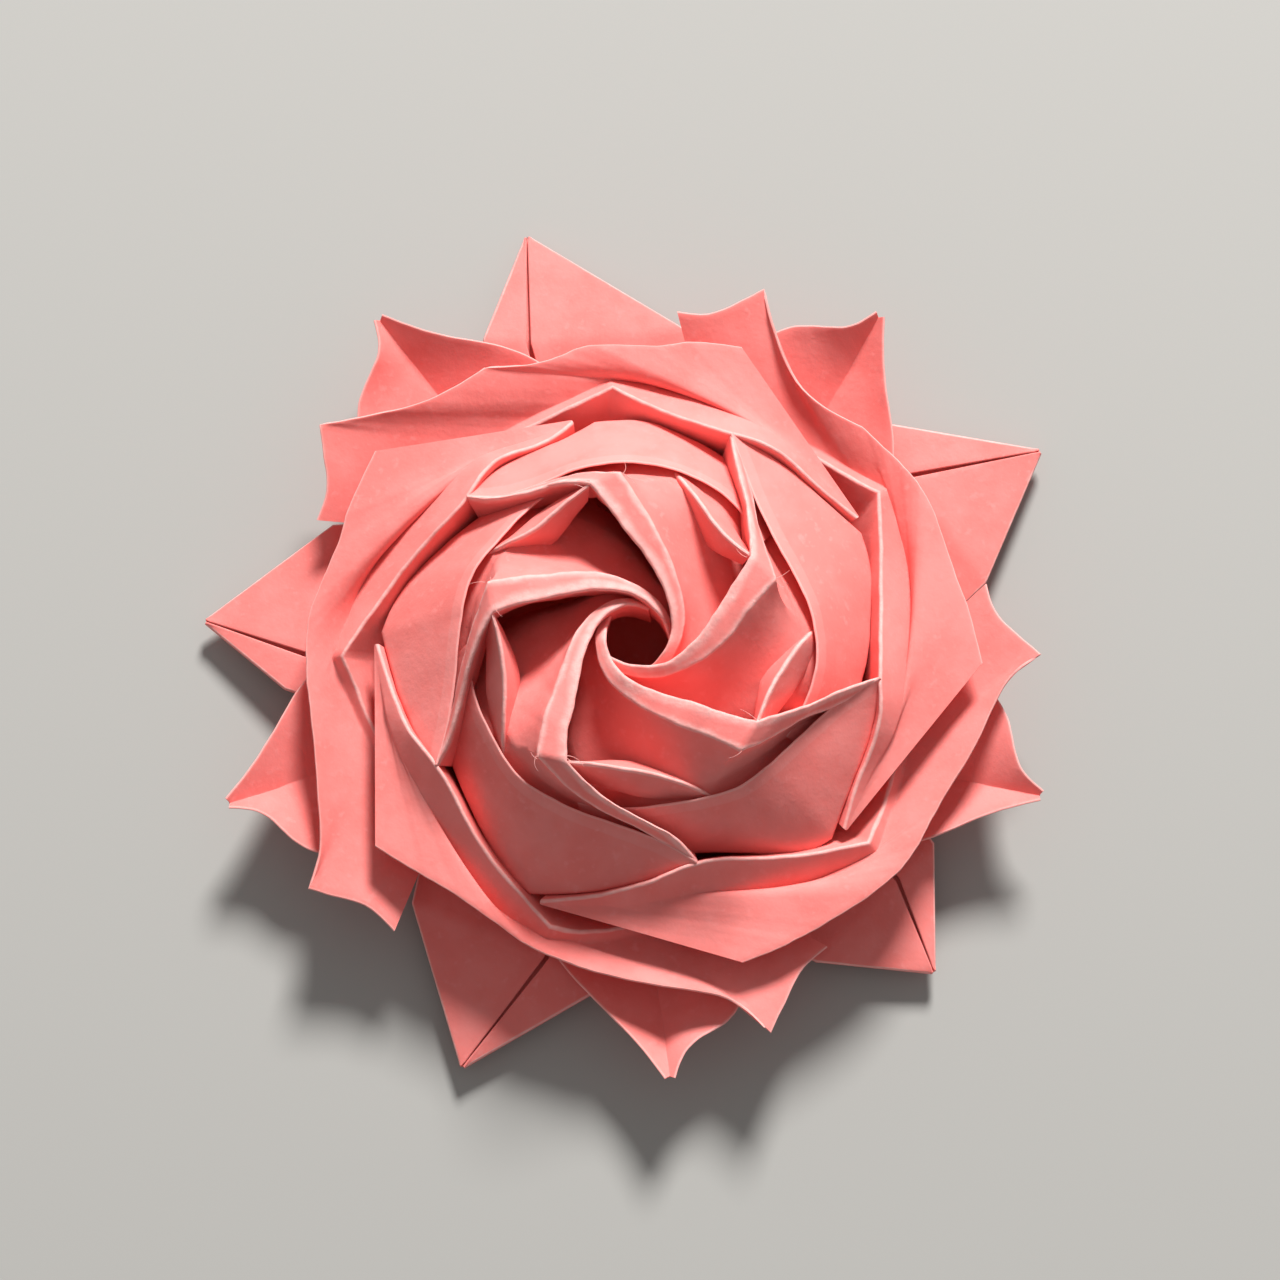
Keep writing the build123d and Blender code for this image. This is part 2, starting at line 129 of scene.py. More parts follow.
# How far each corner of the hand-folded rose strays from the regular one,
# petal by petal and clockwise: millimetres outwards, degrees round.
STRAY = (
    (LOBE, (0.3, -0.1, -0.9, 0.9, -0.2), (-0.8, -0.5, 1.6, -0.1, -0.3)),
    (TIP, (-0.2, -0.1, 0.0, 0.3, 0.0), (-0.4, 0.1, 0.8, -0.2, -0.2)),
    (FLAP, (0.0, -0.6, -0.6, 0.4, 0.8), (0.2, -2.7, 2.6, 0.4, -0.4)),
    (CORNER, (-0.2, 0.7, -0.3, -0.4, 0.3), (0.5, -1.4, 0.5, 1.5, -1.1)),
    (KNEE, (-1.2, 0.1, 0.6, 0.0, 0.6), (-9.0, 2.1, -0.9, 3.6, 4.1)),
    (PEAK, (0.1, 0.6, -0.5, 0.2, -0.3), (0.3, -2.9, 1.6, 0.6, 0.3)),
    (CREST, (0.6, -1.1, 0.2, 0.4, 0.0), (5.2, 1.6, 0.9, -5.9, -1.8)),
    (TUCK, (-0.6, 0.4, 0.4, -0.2, -1.5), (-1.2, -2.9, -0.9, 0.7, 0.5)),
    (SEPAL, (1.5, 1.4, -1.8, -0.6, -0.5), (3.0, -0.4, -3.9, 1.0, 0.3)),
    (SEPAL_L, (1.8, 0.3, -0.8, -1.6, 0.3), (0.3, 1.8, -2.3, 3.3, -3.1)),
    (SEPAL_M, (1.6, -0.1, 0.2, -1.9, 0.3), (1.7, 1.0, -3.3, 1.6, -1.0)),
    (SEPAL_S, (0.6, 1.0, 0.0, -1.3, -0.3), (-0.9, 2.2, 0.7, -1.0, -0.9)),
)
# The same for the free edge of the outer petals, outwards at seven stations.
EDGE_STRAY = (
    (-0.1, -0.3, -0.3, -0.8, 0.3, 0.3, 0.8),
    (0.4, 0.4, 0.3, 0.1, -0.5, -1.6, -0.5),
    (0.3, 0.7, 0.9, 0.9, 0.4, 0.8, 0.1),
    (-0.8, -1.1, -1.3, -0.8, -0.5, -0.2, -0.9),
    (0.2, 0.2, 0.4, 0.6, 0.3, 0.7, 0.5),
)
UPPER = (LOBE, TIP, FLAP, CORNER, KNEE, PEAK, CREST, TUCK)


def plan(r, a):
    """Plan position of a polar point."""
    return r * math.cos(math.radians(a)), r * math.sin(math.radians(a))


def stray_marks():
    """Upper corners of the regular rose and how far each one strays."""
    marks = []
    for point, out, round_ in STRAY:
        if point not in UPPER:
            continue
        for k in range(PETALS):
            x0, y0 = plan(point[0], point[1] - TURN * k)
            x1, y1 = plan(point[0] + out[k], point[1] + round_[k] - TURN * k)
            marks.append((x0, y0, x1 - x0, y1 - y0))
    return marks


def mix(p, q, t, dr=0.0, da=0.0, dz=0.0):
    """Polar point at share t from p to q, moved by the given amounts."""
    return tuple(a + (b - a) * t + d for a, b, d in zip(p, q, (dr, da, dz)))


def move(p, dr=0.0, da=0.0, dz=0.0):
    """Polar point p moved by the given amounts."""
    return p[0] + dr, p[1] + da, p[2] + dz


def beside(p):
    """The same point on the next petal counter-clockwise."""
    return p[0], p[1] + TURN, p[2]


def own(point, k):
    """A corner of petal k with its own stray."""
    for p, out, round_ in STRAY:
        if p == point:
            return move(point, out[k], round_[k])
    raise ValueError("this corner has no stray")


def off(rail, out, round_, down):
    """A rail that runs beside another one, at the given distances."""
    return [move(p, o, a, -d) for p, o, a, d in zip(rail, out, round_, down)]


def petal_edge(k):
    """Free edge of the outer petal; its last four points are the small lobe
    folded back beside the petal's tip."""
    end, lobe = beside(own(TIP, k - 1)), beside(own(LOBE, k - 1))
    waist = [
        (EDGE_R, 80.0, CORNER_Z),
        (EDGE_R - 0.4, 87.0, CORNER_Z - 0.1),
        (EDGE_R - 0.1, 97.5, CORNER_Z - 0.3),
        (EDGE_R + 0.1, 107.0, CORNER_Z - 0.5),
        (EDGE_R + 0.4, 118.0, PETAL_Z + 0.6),
        (EDGE_R + 1.3, 131.8, PETAL_Z + 0.3),
        (EDGE_R + 3.4, 139.8, PETAL_Z + 0.1),
    ]
    return [
        own(CORNER, k),
        *(move(p, out) for p, out in zip(waist, EDGE_STRAY[k])),
        end,
        mix(end, lobe, 0.32, -0.75, -0.3),
        mix(end, lobe, 0.64, -1.0, -0.4),
        lobe,
    ]


def outer_petal_rails():
    """Valley, upright fold and foot of the outer petal."""
    fold = [
        TUCK,
        mix(TUCK, PEAK, 0.33, -0.45, -0.5, 0.1),
        mix(TUCK, PEAK, 0.67, -0.1, -0.3, 0.4),
        PEAK,
        mix(PEAK, KNEE, 0.45, -1.0, 0.9, -0.3),
        KNEE,
        move(KNEE, -0.7, 9.5, -1.3),
        move(KNEE, -1.2, 16.0, -1.8),
        move(KNEE, -1.9, 24.0, -2.2),
        move(KNEE, -2.4, 31.0, -2.9),
        move(KNEE, -2.9, 37.0, -3.6),
        move(KNEE, -3.4, 42.0, -4.3),
    ]
    valley = off(
        fold,
        (0.2, 0.7, 1.3, 2.1, 2.7, 0.9, 0.8, 0.8, 0.8, 0.8, 0.8, 0.8),
        (0,) * 12,
        (0.2, 0.7, 1.6, 2.4, 2.6, 1.0, 0.6, 0.5, 0.4, 0.4, 0.4, 0.4),
    )
    foot = [
        (WALL_R + 1.4, TUCK[1] + 2, TUCK_Z - 3.0),
        (WALL_R + 0.4, TUCK[1] + 11, TUCK_Z - 4.6),
        (WALL_R - 0.4, TUCK[1] + 22, FOOT_Z + 1.1),
        (WALL_R - 0.8, PEAK[1], FOOT_Z),
        (WALL_R - 0.6, PEAK[1] + 17, FOOT_Z),
        (WALL_R, KNEE[1], FOOT_Z),
        (WALL_R + 0.4, KNEE[1] + 9.5, FOOT_Z),
        (WALL_R + 0.4, KNEE[1] + 16.0, FOOT_Z),
        (WALL_R + 0.2, KNEE[1] + 24.0, FOOT_Z),
        (WALL_R, KNEE[1] + 31.0, FOOT_Z),
        (WALL_R - 0.2, KNEE[1] + 37.0, FOOT_Z),
        (WALL_R - 0.4, KNEE[1] + 42.0, FOOT_Z),
    ]
    return valley, fold, foot


def flap_rails(k):
    """Boat-shaped flap: two raised edges and the valley between them."""
    tip = own(FLAP, k)
    left = [
        move(tip, 0.0, 0.6, 0.1),
        move(tip, -2.3, 2.9, -0.1),
        move(tip, -3.9, 9.0, -0.5),
        (WALL_R + 8.2, FLAP[1] + 17.5, FLAP_Z - 1.8),
    ]
    valley = [
        move(tip, -0.2, 0.0, -0.3),
        move(tip, -3.4, -0.3, -1.9),
        move(tip, -7.4, -0.9, -3.2),
        (WALL_R - 1.6, FLAP[1] - 2.8, FOOT_Z + 0.4),
    ]
    right = [
        move(tip, 0.0, -0.6, 0.1),
        move(tip, -3.3, -4.9, -0.4),
        move(tip, -7.1, -13.8, -0.8),
        (WALL_R + 4.6, FLAP[1] - 25.0, FLAP_Z - 2.4),
    ]
    return left, valley, right


def sepal_rails(k):
    """Two edges of the sepal, and the slit where its folded sides meet."""
    tip = own(SEPAL, k)
    left = [move(tip, 0.0, 0.4), own(SEPAL_L, k), (BASE_R + 0.6, 124.0, BASE_T + 0.2)]
    slit = [tip, own(SEPAL_M, k), (FLAT_R - 1.0, 112.0, BASE_T)]
    right = [move(tip, 0.0, -0.4), own(SEPAL_S, k), (BASE_R + 0.6, 66.0, BASE_T + 0.2)]
    return left, slit, right


def broad_petal_rails():
    """Free edge, shoulder and foot of the broad inner petal."""
    start = beside(PEAK)
    free = [
        move(start, 0.0, 0.0, 0.1),
        (BROAD_R + 1.4, 125.4, BROAD_Z - 1.5),
        (BROAD_R + 0.3, 108.9, BROAD_Z - 0.5),
        (BROAD_R + 0.1, 99.0, BROAD_Z - 0.1),
        (BROAD_R + 0.1, 91.0, BROAD_Z + 0.1),
        (BROAD_R, 81.8, BROAD_Z + 0.2),
        (BROAD_R - 0.3, 67.5, BROAD_Z - 0.1),
        (BROAD_R - 0.4, 52.0, BROAD_Z - 0.7),
        (BROAD_R - 0.5, 38.0, BROAD_Z - 1.3),
    ]
    shoulder = [
        move(start, 0.3, -0.6, -0.7),
        (SHOULDER_R - 1.7, 122.0, SHOULDER_Z + 2.0),
        (SHOULDER_R - 1.0, 111.0, SHOULDER_Z + 1.0),
        (SHOULDER_R, 102.0, SHOULDER_Z),
        (SHOULDER_R - 0.7, 94.0, SHOULDER_Z),
        (SHOULDER_R - 2.1, 84.0, SHOULDER_Z + 0.4),
        (SHOULDER_R - 3.4, 71.0, SHOULDER_Z + 0.8),
        (SHOULDER_R - 4.3, 56.0, SHOULDER_Z + 0.8),
        (SHOULDER_R - 5.0, 42.0, SHOULDER_Z + 0.6),
    ]
    foot = [
        (CUP_R + 2.6, 138.0, FOOT_Z + 4.5),
        (CUP_R + 1.0, 122.0, FOOT_Z),
        (CUP_R + 0.8, 111.0, FOOT_Z),
        (CUP_R + 0.8, 102.0, FOOT_Z),
        (CUP_R + 0.5, 94.0, FOOT_Z),
        (CUP_R, 84.0, FOOT_Z),
        (CUP_R, 71.0, FOOT_Z),
        (CUP_R, 56.0, FOOT_Z),
        (CUP_R, 42.0, FOOT_Z),
    ]
    return free, shoulder, foot


def crest_rails():
    """Skirt, slope, hem crease, ridge and inner wall of the crest, which runs
    from the peak over its bend and winds down into the hole."""
    start = beside(PEAK)
    ridge = [
        start,
        mix(start, CREST, 0.22, -0.55, 3.3, -0.1),
        mix(start, CREST, 0.50, -0.6, 3.6, -0.1),
        mix(start, CREST, 0.75, -0.3, 2.7, 0.05),
        CREST,
        mix(CREST, HOLE, 0.22, 0.0, 24.9, 0.5),
        mix(CREST, HOLE, 0.46, 0.0, 50.2, 0.8),
        mix(CREST, HOLE, 0.67, 0.0, 64.3, 0.9),
        mix(CREST, HOLE, 0.846, 0.0, 61.7, 0.8),
        mix(CREST, HOLE, 0.956, 0.0, 38.9, 0.4),
        HOLE,
        move(HOLE, 0.2, -42.0, -1.7),
    ]
    hem = off(
        ridge,
        (-0.5, -0.6, -0.4, 0.0, 0.7, 0.7, 1.0, 1.1, 1.1, 0.8, 0.6, 0.5),
        (-1.6, -5.3, -7.3, -9.5, -11.1, -11.0, -11.5, -10.0, -4.0, -2.0, -1.0, -1.0),
        (0.3, 0.4, 0.3, 0.3, 0.25, 0.25, 0.3, 0.35, 0.4, 0.5, 0.6, 0.7),
    )
    slope = off(
        hem,
        (-1.0, -0.6, -0.3, 0.1, 0.7, 2.3, 3.0, 2.4, 1.3, 1.0, 0.8, 0.7),
        (-2.6, -5.0, -5.5, -8.6, -14.5, -27.0, -38.5, -43.0, -40.0, -34.0, -26.0, -22.0),
        (2.6, 2.8, 3.0, 3.1, 3.6, 3.9, 4.0, 3.6, 3.1, 2.6, 2.4, 1.7),
    )
    skirt = off(
        slope,
        (0.9, 1.3, 1.9, 2.1, 2.2, 2.2, 2.1, 1.3, 0.8, 0.6, 0.5, 0.4),
        (0.0, 0.0, 0.0, -2.0, -2.0, -2.0, -2.0, -2.0, 0.0, 0.0, 0.0, 0.0),
        (1.2, 1.4, 1.7, 1.9, 2.0, 2.2, 2.4, 2.6, 2.3, 2.0, 1.8, 1.4),
    )
    wall = off(
        ridge,
        (-1.2, -1.1, -0.8, -0.55, 0.1, 0.3, 0.5, 0.5, 0.5, 0.5, 0.5, 0.4),
        (0.3, -0.8, -0.8, -1.1, -2.6, -4.0, -5.0, -5.0, -4.0, -2.0, -2.0, -2.0),
        (3.2, 3.6, 3.8, 4.0, 4.8, 4.6, 4.5, 4.6, 5.2, 6.0, 6.6, 6.4),
    )
    return skirt, slope, hem, ridge, wall


def inner_fold_rails():
    """Small fold that runs back from the bend of the crest."""
    top = [
        move(CREST, 0.0, 0.5, -0.25),
        move(CREST, -0.5, 9.9, -0.7),
        move(CREST, -0.5, 20.4, -1.2),
        move(CREST, 0.2, 32.4, -2.0),
        move(CREST, 1.6, 42.4, -3.4),
        move(CREST, 2.6, 47.0, -5.2),
    ]
    outside = off(
        top,
        (0.6, 1.0, 1.4, 1.4, 1.4, 1.4),
        (0.6,) * 6,
        (2.6, 2.8, 3.0, 3.0, 3.0, 3.0),
    )
    inside = off(
        top,
        (-0.5, -0.8, -1.1, -1.1, -1.1, -1.1),
        (1.5,) * 6,
        (2.8, 3.0, 3.2, 3.2, 3.2, 3.2),
    )
    return outside, top, inside


# Folded sheets as closed meshes
ARC = 4                 # points in the rounding of a fold
RIM_ANGLES = (30, 90, 150)  # points round the rim of a sheet, degrees
RIM = len(RIM_ANGLES)
FAR = 9.0               # distance given where no fold or edge is near, mm
SHORT = 0.05            # least length that a stretch of rails counts for, mm
CLOSE = 0.05            # softening of the weights near a mark, mm2
SPAN_SHARE = 0.45       # most of a span that a rounding may take
TINY = 1e-6             # least length and least vector that divide
NIL = 1e-9
CROSSWISE = 1.4         # mesh spacing across the sheet, in steps
CREASE_ANGLE = 50       # folds sharper than this are drawn sharp, degrees
# Unsteady folds: wave lengths in mm with their shares, phases by rail, axis
# and petal, and length over which they fade at the ends.
WAVES = ((9.0, 0.5), (4.1, 0.3), (1.9, 0.2))
PHASES = (2.4, 1.7, 2.9)
FADE = 2.0


def fixed(points, k):
    """Array (n, 3) in mm of polar points on petal k."""
    r, a, z = np.array(points, dtype=float).T
    a = np.radians(a - TURN * k)
    return np.stack((r * np.cos(a), r * np.sin(a), z), 1)


def placed(points, k):
    """As fixed, but each point strays by the mean of the marks' strays,
    weighted by 1 / (distance^2 + CLOSE)^1.5."""
    regular = fixed(points, k)
    xy, z = regular[:, :2], regular[:, 2]
    table = np.array(stray_marks())
    gap = ((xy[:, None, :] - table[None, :, :2]) ** 2).sum(2)
    w = (gap + CLOSE) ** -1.5
    xy = xy + (w @ table[:, 2:]) / w.sum(1, keepdims=True)
    return np.column_stack((xy, z))


def spline(t, y, u):
    """Natural cubic spline through y (n, m) at parameters t, sampled at u."""
    n, h = len(t), np.diff(t)
    if n == 2:
        share = ((u - t[0]) / h[0])[:, None]
        return y[0] * (1 - share) + y[1] * share
    i = np.arange(1, n - 1)
    matrix, right = np.eye(n), np.zeros_like(y)
    matrix[i, i - 1] = h[i - 1]
    matrix[i, i] = 2 * (h[i - 1] + h[i])
    matrix[i, i + 1] = h[i]
    step = np.diff(y, axis=0) / h[:, None]
    right[i] = 6 * (step[i] - step[i - 1])
    bend = np.linalg.solve(matrix, right)
    j = np.clip(np.searchsorted(t, u, side="right") - 1, 0, n - 2)
    a = ((t[j + 1] - u) / h[j])[:, None]
    b = 1 - a
    cubic = (a**3 - a) * bend[j] + (b**3 - b) * bend[j + 1]
    return a * y[j] + b * y[j + 1] + cubic * (h[j] ** 2)[:, None] / 6


def dense(rails, corners, step):
    """Rails (R, S, 3) refined to about step mm along a natural spline, smooth
    but for the corners, which the rails share. Returns (N, R, 3)."""
    count, stations, _ = rails.shape
    rows = rails.transpose(1, 0, 2).reshape(stations, -1)
    gaps = np.linalg.norm(np.diff(rails, axis=1), axis=2)
    t = np.concatenate(([0.0], np.cumsum(np.maximum(gaps.mean(0), SHORT))))
    stops = [0, *sorted(corners), stations - 1]
    parts = []
    for a, b in zip(stops, stops[1:]):
        n = max(2, math.ceil((t[b] - t[a]) / step))
        u = np.linspace(t[a], t[b], n + 1)[(1 if parts else 0):]
        parts.append(spline(t[a : b + 1], rows[a : b + 1], u))
    out = np.concatenate(parts)
    return out.reshape(len(out), count, 3)


def unit(v):
    """Vectors v scaled to length 1."""
    return v / np.maximum(np.linalg.norm(v, axis=-1, keepdims=True), NIL)


def unsteady(rows, reach, k):
    """Small moves of the rails, as of a hand-made fold: for each rail and
    axis the sum of sines of the length along it, of the lengths and shares
    in WAVES, which fades out at both ends."""
    steps = np.linalg.norm(np.diff(rows, axis=0), axis=2).mean(1)
    u = np.concatenate(([0.0], np.cumsum(steps)))
    rail = PHASES[0] * np.arange(rows.shape[1])[:, None]
    axis = PHASES[1] * np.arange(3)[None, :]
    wave = np.zeros_like(rows)
    for length, share in WAVES:
        phase = rail + axis + PHASES[2] * k + length
        wave += share * np.sin(2 * math.pi * u[:, None, None] / length + phase)
    fade = np.clip(np.minimum(u, u[-1] - u) / FADE, 0, 1)[:, None, None]
    return wave * fade * reach


def bezier(a, b, c, q):
    """Point at q on the quadratic Bezier curve from a to c, drawn to b."""
    return a * (1 - q) ** 2 + b * 2 * q * (1 - q) + c * q * q


def toward(a, b, reach):
    """Share of the way from a to b that is reach mm long, within limits."""
    length = np.linalg.norm(b - a, axis=1, keepdims=True)
    return np.minimum(reach / np.maximum(length, TINY), SPAN_SHARE)


def section(rows, rounds, bows, step):
    """Points across the sheet: spans between the rails, bowed by the given
    share of their width along the parabola 4 q (1 - q), and each inner rail
    rounded by a quadratic Bezier arc that starts and ends the given distance
    from it. Returns (N, M, 3) and each column's place in rails."""
    count = rows.shape[1]
    along = unit(np.gradient(rows, axis=0))
    columns, place = [], []
    reach = [0.0, *rounds, 0.0]
    for i in range(count - 1):
        a, b = rows[:, i], rows[:, i + 1]
        length = np.linalg.norm(b - a, axis=1, keepdims=True)
        s0 = toward(a, b, reach[i])
        s1 = 1 - toward(b, a, reach[i + 1])
        normal = unit(np.cross(along[:, i] + along[:, i + 1], b - a))
        n = max(2, math.ceil(length.mean() / step))
        for q in np.linspace(0, 1, n + 1):
            s = s0 + (s1 - s0) * q
            bow = bows[i] * length * 4 * q * (1 - q)
            columns.append(a + (b - a) * s + normal * bow)
            place.append(i + q)
        if i < count - 2:
            c = rows[:, i + 2]
            start = a + (b - a) * s1
            end = b + (c - b) * toward(b, c, reach[i + 1])
            for q in np.arange(1, ARC + 1) / (ARC + 1):
                columns.append(bezier(start, b, end, q))
                place.append(i + 1)
    return np.stack(columns, 1), np.array(place)


def ring(mid, half):
    """Closed skin round a sheet: upper side, half-round rim, lower side and
    the other rim. mid is (N, M, 3) and half the paper's half, in mm."""
    across = unit(np.gradient(mid, axis=1))
    along = unit(np.gradient(mid, axis=0))
    normal = unit(np.cross(along, across))
    lift = normal * half
    rims = []
    for column, side in ((-1, 1), (0, -1)):
        for angle in np.radians(RIM_ANGLES):
            out = lift[:, column] * math.cos(angle)
            out = out + across[:, column] * half * math.sin(angle)
            rims.append(mid[:, column] + side * out)
    upper = (mid + lift).transpose(1, 0, 2)
    lower = (mid - lift).transpose(1, 0, 2)[::-1]
    return np.concatenate((upper, rims[:RIM], lower, rims[RIM:]))


def skin_faces(rows, cols, width):
    """Quads of a closed tube of rows rails with cols stations each, and the
    end caps that join its upper and lower half of width columns."""
    i = np.arange(rows)[:, None]
    j = np.arange(cols - 1)[None, :]
    n = (i + 1) % rows
    sides = np.stack(
        (i * cols + j, n * cols + j, n * cols + j + 1, i * cols + j + 1), -1
    ).reshape(-1, 4)
    a = np.arange(width - 1)
    low = 2 * width + 2 - a
    caps = []
    for at, flip in ((0, False), (cols - 1, True)):
        quad = np.stack((a, low, low - 1, a + 1), 1) * cols + at
        caps.append(quad[:, ::-1] if flip else quad)
    start = [width - 1, width, width + 1, width + 2, width + 3]
    end = [0, 2 * width + 2, 2 * width + 3, 2 * width + 4, 2 * width + 5]
    polys = []
    for at, flip in ((0, False), (cols - 1, True)):
        for loop, turn in ((start, False), (end, True)):
            face = [v * cols + at for v in loop]
            polys.append(face[::-1] if flip != turn else face)
    return np.concatenate((sides, *caps)), polys


def middle_column(place, rail, rails):
    """Column in the middle of a rail's rounding."""
    first = int(np.abs(place - rail).argmin())
    if rail in (0, rails - 1):
        return first
    return min(first + ARC // 2, len(place) - 1)


def round_skin(values):
    """Values (columns, stations) of a sheet repeated for its closed skin."""
    far, near = values[[-1] * RIM], values[[0] * RIM]
    return np.concatenate((values, far, values[::-1], near)).reshape(-1)


class Sheet:
    """Folded strips gathered into one mesh: points, faces and the distances
    in mm to the nearest worn fold and raw edge."""

    def __init__(self):
        self.points, self.quads, self.polys = [], [], []
        self.fold, self.edge = [], []
        self.total = 0

    def strip(self, k, rails, how):
        """Adds the strip through the rails of petal k, drawn as look() says."""
        rows = dense(np.stack(rails), how["corners"], how["step"])
        rows = rows + unsteady(rows, how["wobble"], k)
        mid, place = section(rows, how["rounds"], how["bows"], how["across"])
        skin = ring(mid, how["half"])
        count, width, _ = mid.shape
        steps = np.linalg.norm(np.diff(mid, axis=1), axis=2)
        across = np.concatenate((np.zeros((count, 1)), np.cumsum(steps, 1)), 1)
        fold = np.full(across.shape, FAR)
        for rail, narrow in how["worn"]:
            column = middle_column(place, rail, rows.shape[1])
            gap = np.abs(across - across[:, column][:, None])
            fold = np.minimum(fold, gap * narrow)
        edge = np.full(across.shape, FAR)
        for rail, narrow in how["raw"]:
            column = 0 if rail == 0 else width - 1
            gap = np.abs(across - across[:, column][:, None])
            edge = np.minimum(edge, gap * narrow)
        quads, polys = skin_faces(skin.shape[0], skin.shape[1], width)
        self.quads.append(quads + self.total)
        self.polys += [[v + self.total for v in p] for p in polys]
        self.points.append(skin.reshape(-1, 3))
        self.fold.append(round_skin(fold.T))
        self.edge.append(round_skin(edge.T))
        self.total += skin.shape[0] * skin.shape[1]

    def build(self, name, material):
        """Makes the gathered strips one piece, with its faces outwards."""
        points = np.concatenate(self.points) * MM
        quads = np.concatenate(self.quads)
        faces = [tuple(q) for q in quads.tolist()] + [tuple(p) for p in self.polys]
        a, b, c, d = (points[quads[:, n]] for n in range(4))
        volume = (np.cross(a, b) * c).sum() + (np.cross(a, c) * d).sum()
        if volume < 0:
            faces = [f[::-1] for f in faces]
        mesh = bpy.data.meshes.new(name)
        mesh.from_pydata(points.tolist(), [], faces)
        mesh.validate()
        mesh.polygons.foreach_set("use_smooth", np.ones(len(mesh.polygons), dtype=bool))
        mesh.set_sharp_from_angle(angle=math.radians(CREASE_ANGLE))
        finish_piece(mesh, np.concatenate(self.fold), np.concatenate(self.edge), material)


def finish_piece(mesh, fold, edge, material):
    """Makes the mesh a piece of the rose, with its distances in mm to the
    nearest worn fold and raw edge."""
    for label, values in (("fold_mm", fold), ("edge_mm", edge)):
        layer = mesh.attributes.new(label, "FLOAT", "POINT")
        layer.data.foreach_set("value", values.astype(np.float32))
    mesh.materials.append(material)
    piece = bpy.data.objects.new(mesh.name, mesh)
    bpy.context.scene.collection.objects.link(piece)
    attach(piece, "root")
    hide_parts(NODE)


def look(rounds=(), bows=(), corners=(), worn=(), raw=(), wobble=0.0):
    """How a strip is drawn: roundings at the inner rails in mm, bow of each
    span, stations with a corner, worn folds and raw edges as pairs of a rail
    and how narrow its pale line is, and the reach of its unsteadiness."""
    cfg = bpy.context.scene.paper_rose
    return {
        "rounds": rounds,
        "bows": bows,
        "corners": corners,
        "worn": worn,
        "raw": raw,
        "half": cfg.paper / 2,
        "wobble": wobble,
        "step": cfg.step,
        "across": cfg.step * CROSSWISE,
    }


# The look of the paper
def tree_of(material):
    """The material's node tree, emptied."""
    material.use_nodes = True
    tree = material.node_tree
    tree.nodes.clear()
    return tree


def node(tree, kind, **values):
    """New node; values set its properties or, by input name, its inputs."""
    n = tree.nodes.new(kind)
    for key, value in values.items():
        if hasattr(n, key):
            setattr(n, key, value)
        else:
            n.inputs[key.replace("_", " ")].default_value = value
    return n


def maths(tree, operation, a, b):
    """Result of an operation on a and b, which are sockets or numbers."""
    n = tree.nodes.new("ShaderNodeMath")
    n.operation = operation
    for slot, value in ((0, a), (1, b)):
        if isinstance(value, (int, float)):
            n.inputs[slot].default_value = value
        else:
            tree.links.new(value, n.inputs[slot])
    return n.outputs[0]


def plus(tree, a, b):
    """Sum of a and b."""
    return maths(tree, "ADD", a, b)


def minus(tree, a, b):
    """Difference of a and b."""
    return maths(tree, "SUBTRACT", a, b)


def times(tree, a, b):
    """Product of a and b."""
    return maths(tree, "MULTIPLY", a, b)


def blend(tree, factor, a, b):
    """Colour a turned to b by factor."""
    n = tree.nodes.new("ShaderNodeMix")
    n.data_type = "RGBA"
    tree.links.new(factor, n.inputs["Factor"])
    for slot, value in ((6, a), (7, b)):
        if isinstance(value, tuple):
            n.inputs[slot].default_value = value
        else:
            tree.links.new(value, n.inputs[slot])
    return n.outputs[2]


def ramp(tree, value, low, high):
    """Smooth 0 to 1 as value goes from low to high."""
    n = tree.nodes.new("ShaderNodeMapRange")
    n.interpolation_type = "SMOOTHSTEP"
    tree.links.new(value, n.inputs["Value"])
    n.inputs["From Min"].default_value = low
    n.inputs["From Max"].default_value = high
    return n.outputs[0]


# Noises of the paper: scale per metre and detail.
CLOUD = (90, 3)
BLOT = (420, 4)
GRAIN = (1300, 3)
HAIRS = (3200, 1)
CLOUD_SHARE = 0.55      # shares of clouds and blots in the tone
BLOT_SHARE = 0.45
MID_FROM = (0.36, 0.64)     # tones from the darker to the main colour
PALE_FROM = (0.56, 0.78)    # grain from the main colour to a pale fleck
# Worn folds: unsteadiness of the band's rim and reach of its full wear in mm,
# least wear, the grain's part in it and the most that shows.
RAGGED = 0.9
WORN_FULL = 0.1
WORN_LEAST = 0.15
WORN_GRAIN = 0.9
WORN_MOST = 0.7
HEM = (0.95, 1.1)       # rim of the paler hem beside a raw edge, mm
HEM_SHARE = 0.12
CUT = (0.0, 0.12)       # rim of the pale line along the cut itself, mm
CUT_SHARE = 0.4
ROUGH = 0.62
ROUGH_GRAIN = 0.2
# Relief of grain, hairs and blots, and of the hairs on worn folds.
GRAIN_HIGH = 0.5
HAIRS_HIGH = 0.35
BLOT_HIGH = 1.2
FUZZ_HIGH = 0.7


